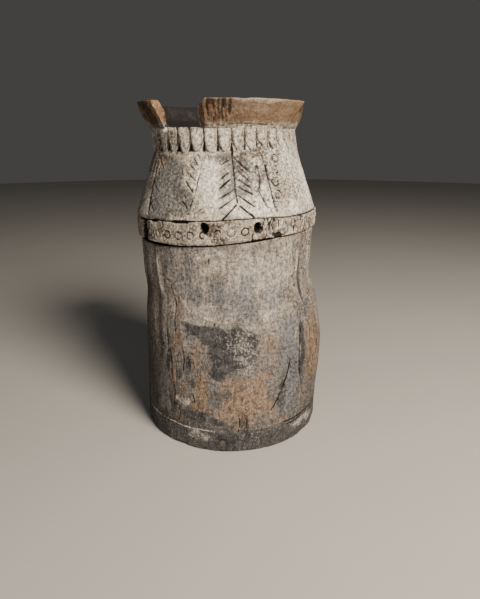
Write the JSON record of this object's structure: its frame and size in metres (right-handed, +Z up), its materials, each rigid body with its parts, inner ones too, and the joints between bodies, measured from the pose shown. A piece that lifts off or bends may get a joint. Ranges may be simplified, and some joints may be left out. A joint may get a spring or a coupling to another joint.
{
  "type": "wooden jug",
  "caption": "Tall carved wooden vessel in two pegged log sections, with a petal collar, raised band, let-in base board and broken flared rim.",
  "frame": {"origin": "on the floor under the middle of the whole vessel's bounding box", "axes": "+Z up along the vessel; -Y is the side the picture is taken from, with the break in the rim to its left; +X is the picture's right"},
  "size_m": [0.2342, 0.2292, 0.4],
  "materials": {
    "body_wood": "weathered, matte, grey-beige with charcoal and orange-tan patches",
    "shoulder_wood": "chalky, matte, pale grey; rim tan-brown",
    "board_wood": "dark, matte",
    "peg_wood": "dark end grain, matte",
    "gum": "dark plant gum, dull"
  },
  "bodies": {
    "root": {"lower_body": "body_wood", "shoulder_section": "shoulder_wood", "base_disc": "board_wood", "base_seal": "gum", "base_peg_1": "peg_wood", "base_peg_2": "peg_wood", "base_peg_3": "peg_wood", "base_peg_4": "peg_wood", "base_peg_5": "peg_wood", "base_peg_6": "peg_wood", "band_peg_1": "peg_wood", "band_peg_2": "peg_wood", "band_peg_3": "peg_wood", "band_peg_4": "peg_wood", "band_peg_5": "peg_wood", "band_peg_6": "peg_wood", "band_peg_7": "peg_wood", "band_peg_8": "peg_wood", "band_peg_9": "peg_wood", "band_peg_10": "peg_wood"}
  },
  "joints": []
}
